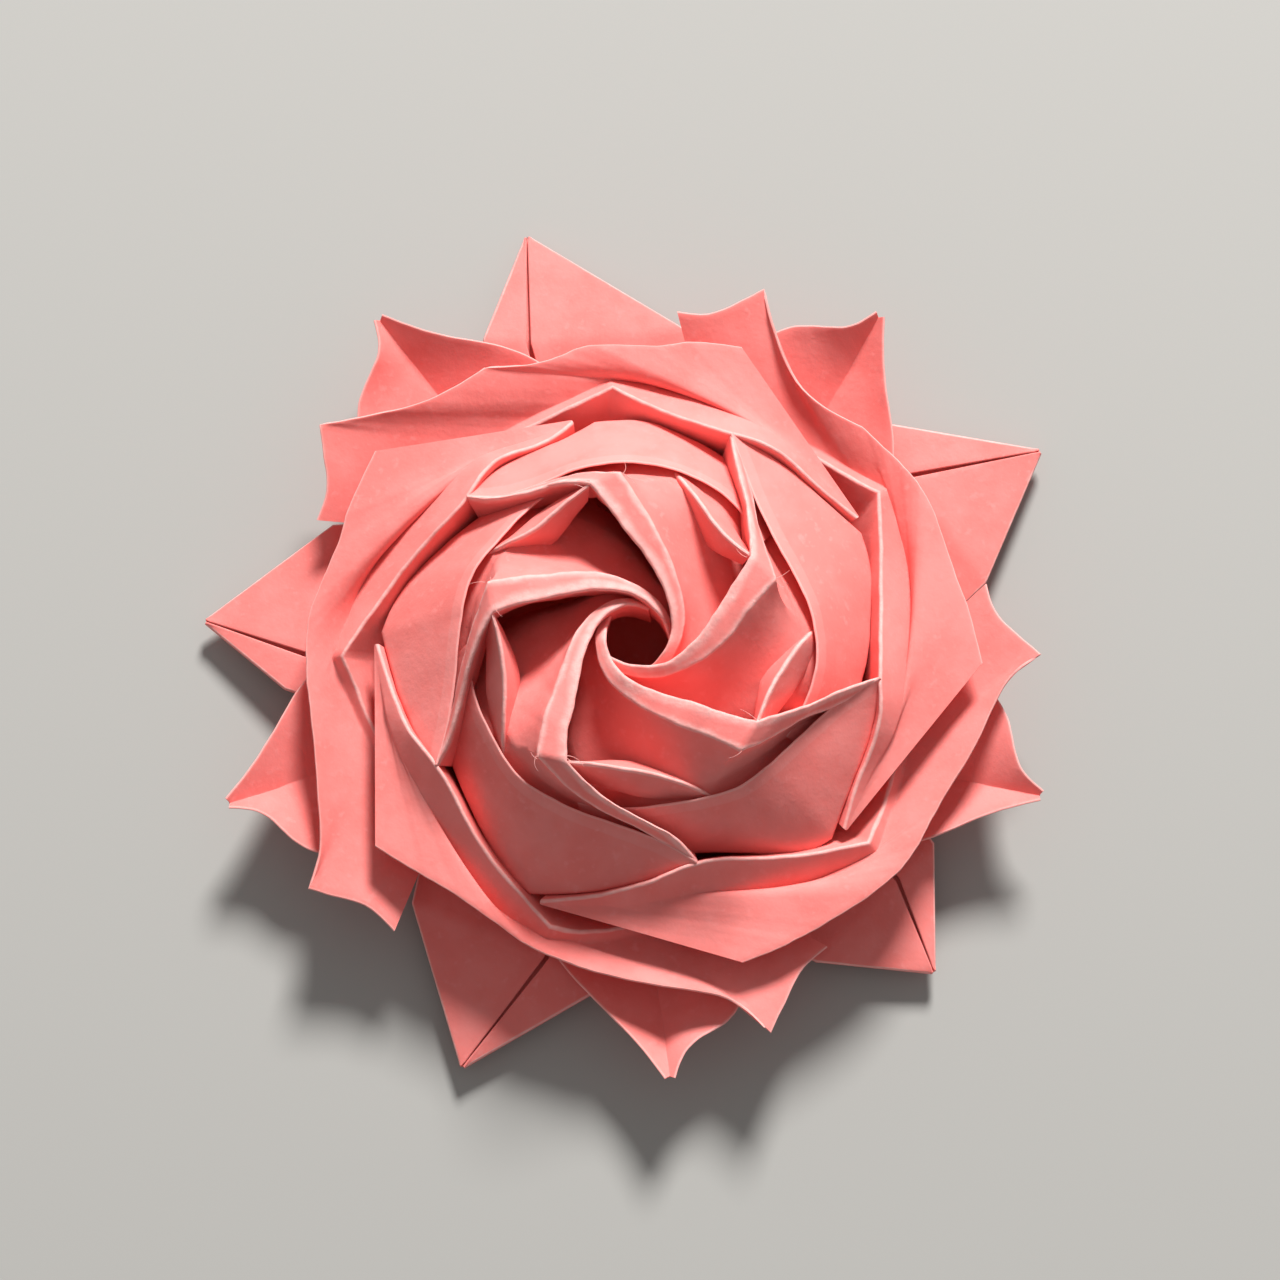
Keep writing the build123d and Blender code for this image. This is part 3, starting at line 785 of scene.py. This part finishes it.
def paper_colour(tree, noises, fold, edge):
    """Blotched colour with pale flecks, worn folds, hems and cut edges.
    Returns the colour and how worn the paper is."""
    cfg = bpy.context.scene.paper_rose
    deep, mid, pale, light = ((*c, 1) for c in (cfg.deep, cfg.mid, cfg.pale, cfg.worn))
    cloud, blot, grain, _ = noises
    tone = plus(tree, times(tree, cloud, CLOUD_SHARE), times(tree, blot, BLOT_SHARE))
    base = blend(tree, ramp(tree, tone, *MID_FROM), deep, mid)
    base = blend(tree, ramp(tree, grain, *PALE_FROM), base, pale)
    ragged = plus(tree, fold, times(tree, minus(tree, blot, 0.5), RAGGED))
    worn = minus(tree, 1.0, ramp(tree, ragged, WORN_FULL, cfg.wear))
    worn = times(tree, worn, plus(tree, WORN_LEAST, times(tree, grain, WORN_GRAIN)))
    base = blend(tree, maths(tree, "MINIMUM", worn, WORN_MOST), base, light)
    for rim, share in ((HEM, HEM_SHARE), (CUT, CUT_SHARE)):
        near = minus(tree, 1.0, ramp(tree, edge, *rim))
        base = blend(tree, times(tree, near, share), base, light)
    return base, worn


def paper_height(tree, noises, worn):
    """Height of the grain, the hairs and the slight waves of the paper."""
    _, blot, grain, hairs = noises
    height = plus(tree, times(tree, grain, GRAIN_HIGH), times(tree, hairs, HAIRS_HIGH))
    height = plus(tree, height, times(tree, blot, BLOT_HIGH))
    return plus(tree, height, times(tree, worn, times(tree, hairs, FUZZ_HIGH)))


def paper_group():
    """Node group: colour, roughness and relief of the paper."""
    tree = bpy.data.node_groups.new("Paper surface", "ShaderNodeTree")
    for name in ("Color", "Roughness", "Height"):
        kind = "NodeSocketColor" if name == "Color" else "NodeSocketFloat"
        tree.interface.new_socket(name=name, in_out="OUTPUT", socket_type=kind)
    out = tree.nodes.new("NodeGroupOutput")
    where = node(tree, "ShaderNodeTexCoord").outputs["Object"]
    fold = node(tree, "ShaderNodeAttribute", attribute_name="fold_mm").outputs["Fac"]
    edge = node(tree, "ShaderNodeAttribute", attribute_name="edge_mm").outputs["Fac"]
    noises = []
    for scale, detail in (CLOUD, BLOT, GRAIN, HAIRS):
        n = node(tree, "ShaderNodeTexNoise", Scale=scale, Detail=detail, Roughness=0.5)
        tree.links.new(where, n.inputs["Vector"])
        noises.append(n.outputs["Fac"])
    colour, worn = paper_colour(tree, noises, fold, edge)
    rough = plus(tree, ROUGH, times(tree, noises[2], ROUGH_GRAIN))
    tree.links.new(colour, out.inputs["Color"])
    tree.links.new(rough, out.inputs["Roughness"])
    tree.links.new(paper_height(tree, noises, worn), out.inputs["Height"])
    return tree


def paper():
    """The paper's material, made once."""
    if "Rose paper" in bpy.data.materials:
        return bpy.data.materials["Rose paper"]
    cfg = bpy.context.scene.paper_rose
    material = bpy.data.materials.new("Rose paper")
    tree = tree_of(material)
    shader = node(tree, "ShaderNodeBsdfPrincipled")
    shader.inputs["Specular IOR Level"].default_value = 0.25
    shader.inputs["Subsurface Weight"].default_value = 0.2
    shader.inputs["Subsurface Radius"].default_value = (1.0, 0.22, 0.18)
    shader.inputs["Subsurface Scale"].default_value = 0.5 * MM
    group = node(tree, "ShaderNodeGroup", node_tree=paper_group())
    bump = node(tree, "ShaderNodeBump", Strength=cfg.grain)
    bump.inputs["Distance"].default_value = 0.08 * MM
    out = node(tree, "ShaderNodeOutputMaterial")
    tree.links.new(group.outputs["Color"], shader.inputs["Base Color"])
    tree.links.new(group.outputs["Roughness"], shader.inputs["Roughness"])
    tree.links.new(group.outputs["Height"], bump.inputs["Height"])
    tree.links.new(bump.outputs[0], shader.inputs["Normal"])
    tree.links.new(shader.outputs[0], out.inputs["Surface"])
    return material


class RoseSettings(bpy.types.PropertyGroup):
    """Settings of the rose, its paper, the light and the camera"""

    paper: FloatProperty(
        name="Paper",
        description="Thickness of the sheet in mm",
        default=0.2,
        min=0.05,
        max=0.6,
    )
    step: FloatProperty(
        name="Step",
        description="Spacing of the mesh in mm",
        default=0.5,
        min=0.2,
        max=2.0,
    )
    wear: FloatProperty(
        name="Wear",
        description="Reach of the pale band beside a fold in mm",
        default=0.75,
    )
    grain: FloatProperty(
        name="Grain",
        description="Strength of the paper's relief",
        default=0.5,
        min=0.0,
        max=1.0,
    )
    deep: FloatVectorProperty(
        name="Deep",
        description="Darker paper colour",
        subtype="COLOR",
        default=(0.90, 0.215, 0.197),
    )
    mid: FloatVectorProperty(
        name="Mid",
        description="Main paper colour",
        subtype="COLOR",
        default=(0.94, 0.265, 0.247),
    )
    pale: FloatVectorProperty(
        name="Pale",
        description="Pale fleck colour",
        subtype="COLOR",
        default=(0.95, 0.28, 0.262),
    )
    worn: FloatVectorProperty(
        name="Worn",
        description="Colour of worn folds",
        subtype="COLOR",
        default=(0.95, 0.55, 0.52),
    )
    key: FloatProperty(
        name="Key",
        description="Power of the main light in W",
        default=14.5,
    )
    fill: FloatProperty(
        name="Fill",
        description="Strength of the soft light all round",
        default=0.30,
    )
    camera_up: FloatProperty(
        name="Elevation",
        description="Camera elevation",
        default=math.radians(78),
        subtype="ANGLE",
    )
    camera_far: FloatProperty(
        name="Distance",
        description="Camera distance",
        default=0.42,
        unit="LENGTH",
        subtype="DISTANCE",
    )
    lens: FloatProperty(
        name="Lens",
        description="Focal length in mm",
        default=147.66,
    )


class RosePiece:
    """What the operators of the rose's pieces share."""

    bl_options = {"REGISTER", "UNDO"}

    def sheets(self, name, rails_of, how):
        """One mesh of the five petals' strips; rails_of(k) gives petal k's."""
        sheet = Sheet()
        for k in range(PETALS):
            sheet.strip(k, rails_of(k), how)
        sheet.build(name, paper())
        return {"FINISHED"}


def strayed(rails):
    """Function that places the rails of a petal with their strays."""
    return lambda k: [placed(r, k) for r in rails]


class ROSE_OT_outer_petals(RosePiece, bpy.types.Operator):
    """Build the five outer petals with their upright folds and lobes"""

    bl_idname = "rose.outer_petals"
    bl_label = "Outer petals"

    def execute(self, context):
        how = look(
            rounds=(0.3, 0.2),
            bows=(0.0, 0.0, 0.0),
            corners=(5, 8),
            worn=((2, 4.0),),
            raw=((0, 8.0),),
            wobble=0.06,
        )
        inner = strayed(outer_petal_rails())
        return self.sheets("outer_petals", lambda k: [fixed(petal_edge(k), k), *inner(k)], how)


class ROSE_OT_flaps(RosePiece, bpy.types.Operator):
    """Build the five boat-shaped flaps"""

    bl_idname = "rose.flaps"
    bl_label = "Flaps"

    def execute(self, context):
        how = look(
            rounds=(0.12,),
            bows=(0.0, 0.0),
            raw=((0, 8.0), (2, 8.0)),
            wobble=0.05,
        )
        return self.sheets("flaps", lambda k: [fixed(r, k) for r in flap_rails(k)], how)


INSET = 0.12            # by which a sepal's skin stays inside its outline
LIP_BACK = (0.12, 0.28, 0.28)   # half the slit, from the tip to the root
LIP_Z = 0.31            # height of the slit's lips over its rail
SKIN_Z = 0.22           # heights of the skin over and under the outline
UNDER_Z = -0.2


def sepal_wrap(k):
    """Rails round a sepal: from the slit over the left edge, underneath, and
    over the right edge back to the slit."""
    left, slit, right = (fixed(r, k) for r in sepal_rails(k))
    up = np.array((0.0, 0.0, 1.0))
    inset = unit(right - left) * INSET
    left, right = left + inset, right - inset
    for rail in (left, slit, right):
        rail[0] -= unit(rail[0] * (1, 1, 0)) * INSET
    across = unit(right - left) * np.array(LIP_BACK)[:, None]
    lip = slit + up * LIP_Z
    high, low = up * SKIN_Z, up * UNDER_Z
    return [
        lip - across,
        left + high,
        left + low,
        right + low,
        right + high,
        lip + across,
    ]


class ROSE_OT_sepals(RosePiece, bpy.types.Operator):
    """Build the five sepals, each folded over from both sides to a slit"""

    bl_idname = "rose.sepals"
    bl_label = "Sepals"

    def execute(self, context):
        how = look(
            rounds=(0.12,) * 4,
            bows=(0.0,) * 5,
            corners=(1,),
            worn=((1, 7.0), (4, 7.0)),
        )
        return self.sheets("sepals", sepal_wrap, how)


class ROSE_OT_broad_petals(RosePiece, bpy.types.Operator):
    """Build the five broad inner petals"""

    bl_idname = "rose.broad_petals"
    bl_label = "Broad petals"

    def execute(self, context):
        how = look(
            rounds=(0.5,),
            bows=(0.015, 0.0),
            corners=(3,),
            raw=((0, 1.0),),
            wobble=0.05,
        )
        return self.sheets("broad_petals", strayed(broad_petal_rails()), how)


# How far the slope between two crests sags, at its stations in mm, and the
# share of that on each petal.
SAG = (0, 0, 0, 0, 0, 0.9, 2.7, 3.2, 2.4, 1.0, 0, 0)
SAG_SHARE = (0.3, 0.6, 0.9, 1.0, 1.0)


def sagged_crest(k):
    """Rails of crest k with its slope and skirt let down."""
    skirt, slope, hem, ridge, wall = crest_rails()
    down = [d * SAG_SHARE[k] for d in SAG]
    skirt, slope = ([move(p, dz=-d) for p, d in zip(r, down)] for r in (skirt, slope))
    return [placed(r, k) for r in (skirt, slope, hem, ridge, wall)]


class ROSE_OT_crests(RosePiece, bpy.types.Operator):
    """Build the five crests that wind into the hole"""

    bl_idname = "rose.crests"
    bl_label = "Crests"

    def execute(self, context):
        how = look(
            rounds=(0.8, 0.12, 0.2),
            bows=(0.0, 0.08, 0.0, 0.0),
            corners=(4,),
            worn=((3, 0.8), (2, 2.6)),
            wobble=0.08,
        )
        return self.sheets("crests", sagged_crest, how)


class ROSE_OT_inner_folds(RosePiece, bpy.types.Operator):
    """Build the five small folds behind the crests"""

    bl_idname = "rose.inner_folds"
    bl_label = "Inner folds"

    def execute(self, context):
        how = look(
            rounds=(0.2,),
            bows=(0.0, 0.0),
            worn=((1, 2.0),),
            wobble=0.06,
        )
        return self.sheets("inner_folds", strayed(inner_fold_rails()), how)


# Flat twist of the underside
KNOT_T = 0.3            # thickness of the small pentagon and the pleats
BEVEL = 0.05
PLEAT_LAP = 1.0         # by which a pleat reaches under the small pentagon
PLEAT_END = 0.4         # by which it stays inside the outline
PLEAT_FROM = -0.29      # sides of a pleat, in sides of the small pentagon
PLEAT_TO = 0.61
PLEAT_Z = 0.15


def slab(corners, z0, z1, rim):
    """Flat sheet with a small bevel: points (n, 3) and faces."""
    c = np.array(corners, dtype=float)
    mid = c.mean(0)
    inner = c + unit(mid - c) * rim
    levels = ((inner, z0), (c, z0 + rim), (c, z1 - rim), (inner, z1))
    points = np.concatenate([np.column_stack((xy, np.full(len(c), z))) for xy, z in levels])
    n = len(c)
    i = np.arange(n)
    j = (i + 1) % n
    sides = [np.stack((i, j, j + n, i + n), 1) + n * level for level in range(3)]
    faces = [tuple(f) for f in np.concatenate(sides).tolist()]
    return points, faces + [tuple(range(n))[::-1], tuple(range(3 * n, 4 * n))]


def gather(parts):
    """Points and faces of several parts, (points, faces) each, as one."""
    points, faces, total = [], [], 0
    for p, f in parts:
        faces += [tuple(v + total for v in face) for face in f]
        points.append(p)
        total += len(p)
    return np.concatenate(points), faces


def mesh_of(name, parts):
    """Mesh of several parts, (points, faces) each, in mm."""
    points, faces = gather(parts)
    mesh = bpy.data.meshes.new(name)
    mesh.from_pydata((points * MM).tolist(), [], faces)
    return mesh


def turned(x, y, angle):
    """The plan point (x, y) turned by the angle, in degrees."""
    c, s = math.cos(math.radians(angle)), math.sin(math.radians(angle))
    return x * c - y * s, x * s + y * c


class ROSE_OT_base_twist(RosePiece, bpy.types.Operator):
    """Build the flat twist of the underside"""

    bl_idname = "rose.base_twist"
    bl_label = "Base twist"

    def execute(self, context):
        base = [plan(BASE_R, TURN * n) for n in range(PETALS)]
        parts = [slab(base, KNOT_T, BASE_T, BEVEL)]
        side = 2 * TWIST_R * math.sin(math.pi / PETALS)
        x0 = TWIST_R * math.cos(math.pi / PETALS) - PLEAT_LAP
        x1 = FLAT_R - PLEAT_END
        y0, y1 = side * PLEAT_FROM, side * PLEAT_TO
        for k in range(PETALS):
            angle = TWIST_TURN + TURN * (k + 0.5)
            box = ((x0, y0), (x1, y0), (x1, y1), (x0, y1))
            pleat = [turned(x, y, angle) for x, y in box]
            parts.append(slab(pleat, PLEAT_Z, PLEAT_Z + KNOT_T, BEVEL))
        knot = [plan(TWIST_R, TWIST_TURN + TURN * n) for n in range(PETALS)]
        parts.append(slab(knot, 0.0, KNOT_T, BEVEL))
        mesh = mesh_of("base_twist", parts)
        far = np.full(len(mesh.vertices), FAR)
        finish_piece(mesh, far, far, paper())
        return {"FINISHED"}


# Loose fibres: how many at a bend, their radius in mm, how much thinner their
# end is, points along and round them, and slopes of their first and second half.
FIBRES = 4
FIBRE_R = 0.03
FIBRE_THIN = 0.6
FIBRE_POINTS = 7
FIBRE_SIDES = 4
FIBRE_RISE = 0.1
FIBRE_DROP = 0.3
# Random draws: seed, spread of the roots in mm, half the fan and the most
# bend in degrees, and lengths in mm.
FIBRE_SEED = 7
FIBRE_SPREAD = 0.25
FIBRE_FAN = 80
FIBRE_BEND = 90
FIBRE_LENGTH = (0.8, 2.0)


def fibre(start, way, bend, length):
    """Loose fibre: a thin tube along the quadratic Bezier curve that leaves
    start in the direction way, in degrees, and turns by bend."""
    mid = start + length / 2 * np.array((*plan(1, way), FIBRE_RISE))
    end = mid + length / 2 * np.array((*plan(1, way + bend), -FIBRE_DROP))
    q = np.linspace(0, 1, FIBRE_POINTS)[:, None]
    path = bezier(start, mid, end, q)
    along = unit(np.gradient(path, axis=0))
    side = unit(np.cross(along, (0.0, 0.0, 1.0)))
    up = np.cross(side, along)
    turns = np.radians(np.arange(0, 360, 360 // FIBRE_SIDES))[:, None, None]
    thin = FIBRE_R * (1 - FIBRE_THIN * q)
    points = path + thin * (side * np.cos(turns) + up * np.sin(turns))
    count = len(path)
    faces = []
    for n in range(FIBRE_SIDES):
        a, b = n * count, (n + 1) % FIBRE_SIDES * count
        faces += [(a + j, a + j + 1, b + j + 1, b + j) for j in range(count - 1)]
    first = tuple(n * count for n in range(FIBRE_SIDES))
    last = tuple(n * count + count - 1 for n in range(FIBRE_SIDES))
    return points.reshape(-1, 3), [*faces, first, last[::-1]]


class ROSE_OT_fibres(RosePiece, bpy.types.Operator):
    """Build the few loose fibres where the crests bend"""

    bl_idname = "rose.fibres"
    bl_label = "Fibres"

    def execute(self, context):
        rng = np.random.default_rng(FIBRE_SEED)
        _, _, hem, ridge, _ = crest_rails()
        parts = []
        for k in range(PETALS):
            bend = placed((hem[4], ridge[4]), k)
            out = math.degrees(math.atan2(*(bend[0] - bend[1])[1::-1]))
            for n in range(FIBRES):
                near = n % 2
                start = bend[near] + rng.normal(0, FIBRE_SPREAD, 3) * (1, 1, 0)
                way = out + 180 * near + rng.uniform(-FIBRE_FAN, FIBRE_FAN)
                turn = rng.uniform(-FIBRE_BEND, FIBRE_BEND)
                parts.append(fibre(start, way, turn, rng.uniform(*FIBRE_LENGTH)))
        mesh = mesh_of("fibres", parts)
        zero = np.zeros(len(mesh.vertices))
        finish_piece(mesh, zero, zero + FAR, paper())
        return {"FINISHED"}


# Floor, light and camera, in metres
FLOOR_HALF = 3.0
FLOOR_COLOUR = (0.42, 0.415, 0.40)
FLOOR_ROUGH = 0.9
KEY_PLACE = (0.14, 0.71, 0.545)
KEY_SIZE = 0.24
KEY_COLOUR = (1.0, 0.985, 0.96)
KEY_TARGET = (0.0, 0.0, 0.008)
FILL_COLOUR = (1.0, 0.985, 0.97)
CAMERA_TARGET = (0.0, 1.05, 8.0)    # mm
SENSOR = 36.0           # mm
CLIP_START = 0.01


def plain(name, colour, roughness):
    """Material of one colour."""
    material = bpy.data.materials.new(name)
    tree = tree_of(material)
    shader = node(tree, "ShaderNodeBsdfPrincipled")
    shader.inputs["Base Color"].default_value = (*colour, 1)
    shader.inputs["Roughness"].default_value = roughness
    out = node(tree, "ShaderNodeOutputMaterial")
    tree.links.new(shader.outputs[0], out.inputs["Surface"])
    return material


def floor():
    """Plain floor under the rose."""
    mesh = bpy.data.meshes.new("floor")
    w = FLOOR_HALF
    square = [(-w, -w, 0), (w, -w, 0), (w, w, 0), (-w, w, 0)]
    mesh.from_pydata(square, [], [(0, 1, 2, 3)])
    mesh.materials.append(plain("Floor", FLOOR_COLOUR, FLOOR_ROUGH))
    obj = bpy.data.objects.new("floor", mesh)
    bpy.context.scene.collection.objects.link(obj)
    obj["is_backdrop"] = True


def aim(obj, place, target):
    """Puts obj at place, looking at target, with +Y up in its picture."""
    d = np.array(place) - np.array(target)
    z = d / np.linalg.norm(d)
    x = np.cross((0.0, 1.0, 0.0), z)
    x /= np.linalg.norm(x)
    y = np.cross(z, x)
    turn = np.eye(4)
    turn[:3, 0], turn[:3, 1], turn[:3, 2], turn[:3, 3] = x, y, z, place
    obj.matrix_world = turn.T.tolist()


def area_light(name, place, size, power, colour):
    """Round soft light at place, aimed at the rose."""
    data = bpy.data.lights.new(name, "AREA")
    data.shape = "DISK"
    data.size = size
    data.energy = power
    data.color = colour
    obj = bpy.data.objects.new(name, data)
    bpy.context.scene.collection.objects.link(obj)
    aim(obj, place, KEY_TARGET)


def world(strength):
    """Soft light from all round."""
    scene = bpy.context.scene
    scene.world = bpy.data.worlds.new("Soft light")
    scene.world.use_nodes = True
    tree = scene.world.node_tree
    back = tree.nodes["Background"]
    back.inputs["Color"].default_value = (*FILL_COLOUR, 1)
    back.inputs["Strength"].default_value = strength


class ROSE_OT_stage(bpy.types.Operator):
    """Set up the plain floor, the soft light and the camera"""

    bl_idname = "rose.stage"
    bl_label = "Stage"

    def execute(self, context):
        cfg = context.scene.paper_rose
        floor()
        world(cfg.fill)
        area_light("Key", KEY_PLACE, KEY_SIZE, cfg.key, KEY_COLOUR)
        data = bpy.data.cameras.new("Camera")
        data.sensor_width = SENSOR
        data.lens = cfg.lens
        data.clip_start = CLIP_START
        camera = bpy.data.objects.new("Camera", data)
        context.scene.collection.objects.link(camera)
        target = np.array(CAMERA_TARGET) * MM
        up = cfg.camera_up
        away = np.array((0.0, -math.cos(up), math.sin(up)))
        place = target + cfg.camera_far * away
        aim(camera, tuple(place), tuple(target))
        context.scene.camera = camera
        context.scene.view_settings.view_transform = "Standard"
        return {"FINISHED"}


class ROSE_PT_panel(bpy.types.Panel):
    """Settings and operators of the rose"""

    bl_label = "Rose"
    bl_idname = "ROSE_PT_panel"
    bl_space_type = "VIEW_3D"
    bl_region_type = "UI"
    bl_category = "Rose"

    def draw(self, context):
        cfg = context.scene.paper_rose
        for name in RoseSettings.__annotations__:
            self.layout.prop(cfg, name)
        for op in OPERATORS:
            self.layout.operator(op.bl_idname)


OPERATORS = (
    ROSE_OT_outer_petals,
    ROSE_OT_flaps,
    ROSE_OT_sepals,
    ROSE_OT_broad_petals,
    ROSE_OT_crests,
    ROSE_OT_inner_folds,
    ROSE_OT_base_twist,
    ROSE_OT_fibres,
    ROSE_OT_stage,
)
CLASSES = (RoseSettings, *OPERATORS, ROSE_PT_panel)


def register():
    """Registers the classes and the settings."""
    for c in CLASSES:
        bpy.utils.register_class(c)
    bpy.types.Scene.paper_rose = PointerProperty(type=RoseSettings)


def unregister():
    """Removes the classes and the settings."""
    del bpy.types.Scene.paper_rose
    for c in reversed(CLASSES):
        bpy.utils.unregister_class(c)


def corners():
    """Lowest and highest corner of what is shown, as plain lists, in metres."""
    return [[round(v, 6) for v in corner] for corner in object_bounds()]


def main():
    """Builds the rose and its stage."""
    register()
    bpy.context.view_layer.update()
    rose = bpy.ops.rose
    rose.outer_petals()
    rose.flaps()
    rose.sepals()
    rose.broad_petals()
    rose.crests()
    rose.inner_folds()
    rose.base_twist()
    rose.fibres()
    rose.stage()


if __name__ == "__main__":
    main()
